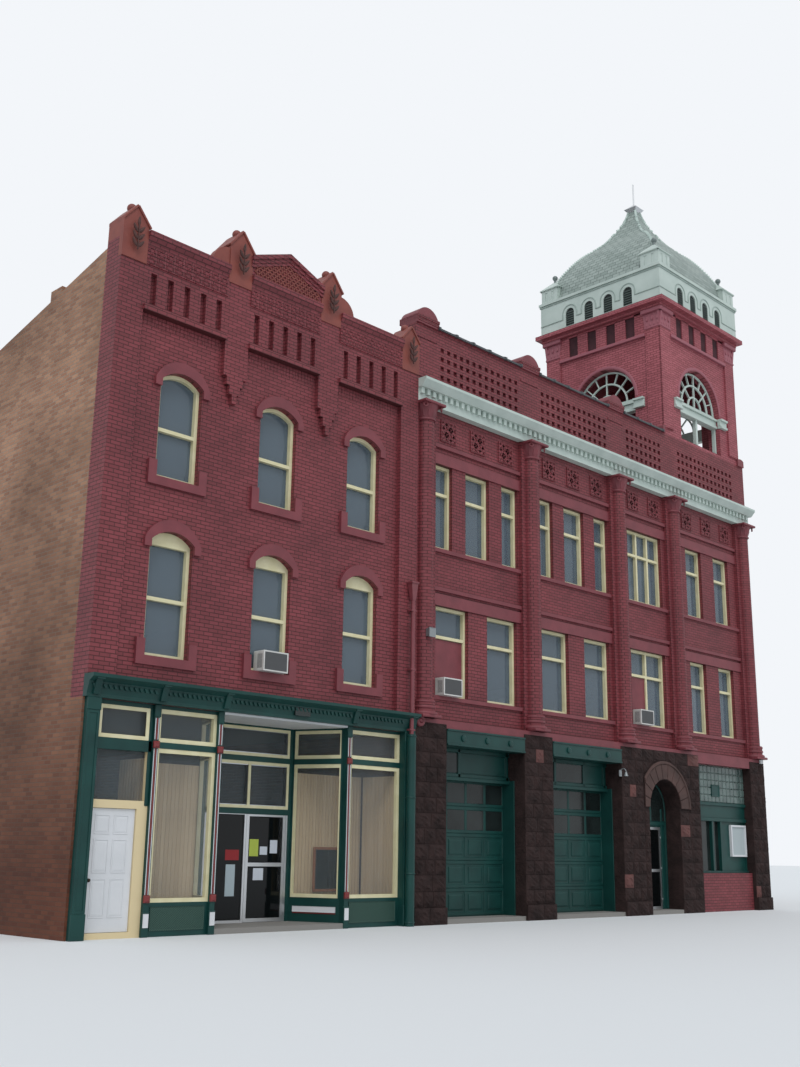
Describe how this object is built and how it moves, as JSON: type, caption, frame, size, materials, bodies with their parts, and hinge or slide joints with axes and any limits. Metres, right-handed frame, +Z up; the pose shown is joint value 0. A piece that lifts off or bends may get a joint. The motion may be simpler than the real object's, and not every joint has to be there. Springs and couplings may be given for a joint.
{
  "type": "village hall",
  "caption": "Brick village hall: a narrow shopfront office joined to a wider hall with engine bays, an arched entry and a square tower under a slate ogee roof.",
  "frame": {"origin": "on the ground under the hall's floor slab, at the middle of the footprint", "axes": "+X along the street front to the right as seen from the street, +Y into the building, +Z up"},
  "size_m": [23.4, 14.35, 23.7],
  "materials": {
    "painted_brick": "brick under a worn coat of maroon paint",
    "painted_trim": "smooth painted stone and sheet metal",
    "clay_tile": "moulded brown-orange clay",
    "common_brick": "unpainted tan brick",
    "cream_paint": "cream painted wood",
    "glass": "window glass",
    "green_paint": "dark green paint",
    "bare_aluminium": "anodised aluminium",
    "white_paint": "white paint",
    "bare_pine": "unpainted pine",
    "rock_faced_stone": "rock-faced brown stone",
    "pale_green_paint": "pale green paint",
    "slate": "grey-green slate",
    "floor_boards": "boards and concrete",
    "roof_felt": "dark roofing"
  },
  "bodies": {
    "building": {"arch_door_frame": "green_paint", "bay_beams": "green_paint", "entry_frame": "bare_aluminium", "entry_soffit": "white_paint", "floors": "floor_boards", "front_glass": "glass", "garage_doors": "green_paint", "glass_blocks": "glass", "hall_capitals": "painted_trim", "hall_coping": "painted_brick", "hall_cornice": "pale_green_paint", "hall_frames": "cream_paint", "hall_front_wall": "painted_brick", "hall_lintels": "painted_trim", "hall_parapet": "painted_brick", "hall_rear_wall": "common_brick", "hall_right_wall": "common_brick", "hall_shafts": "painted_trim", "hall_strings": "painted_trim", "office_corbels": "painted_brick", "office_frieze": "clay_tile", "office_front_wall": "painted_brick", "office_left_wall": "common_brick", "office_pinnacles": "clay_tile", "office_rear_wall": "common_brick", "office_sashes": "cream_paint", "office_surrounds": "painted_trim", "party_wall": "common_brick", "plain_windows": "glass", "roof_cap": "bare_aluminium", "roofs": "roof_felt", "shop_base": "painted_brick", "shop_bulkheads": "green_paint", "shop_columns": "green_paint", "shop_cornice": "green_paint", "shop_frames": "cream_paint", "shop_glass": "glass", "shop_window": "green_paint", "side_door_frame": "bare_pine", "stone_arch": "rock_faced_stone", "stone_piers": "rock_faced_stone", "tower_cornice": "painted_brick", "tower_deck": "floor_boards", "tower_front_wall": "painted_brick", "tower_left_wall": "painted_brick", "tower_rear_wall": "painted_brick", "tower_right_wall": "painted_brick", "tower_roof": "slate", "tower_stage": "pale_green_paint"},
    "side_door_leaf": {"side_door": "white_paint"},
    "office_door_leaf": {"office_door": "bare_aluminium"},
    "arch_door_leaf": {"arch_door": "bare_aluminium"}
  },
  "joints": [
    {"name": "side_door_hinge", "type": "hinge", "parent": "building", "child": "side_door_leaf", "pos_m": [-10.426, -6.8517, 1], "axis": [0, 0, -1], "range_deg": [0, 90]},
    {"name": "office_door_hinge", "type": "hinge", "parent": "building", "child": "office_door_leaf", "pos_m": [-6.047, -5.8083, 1], "axis": [0, 0, 1], "range_deg": [0, 85]},
    {"name": "arch_door_hinge", "type": "hinge", "parent": "building", "child": "arch_door_leaf", "pos_m": [6.628, -6.6283, 1], "axis": [0, 0, 1], "range_deg": [0, 90]}
  ]
}
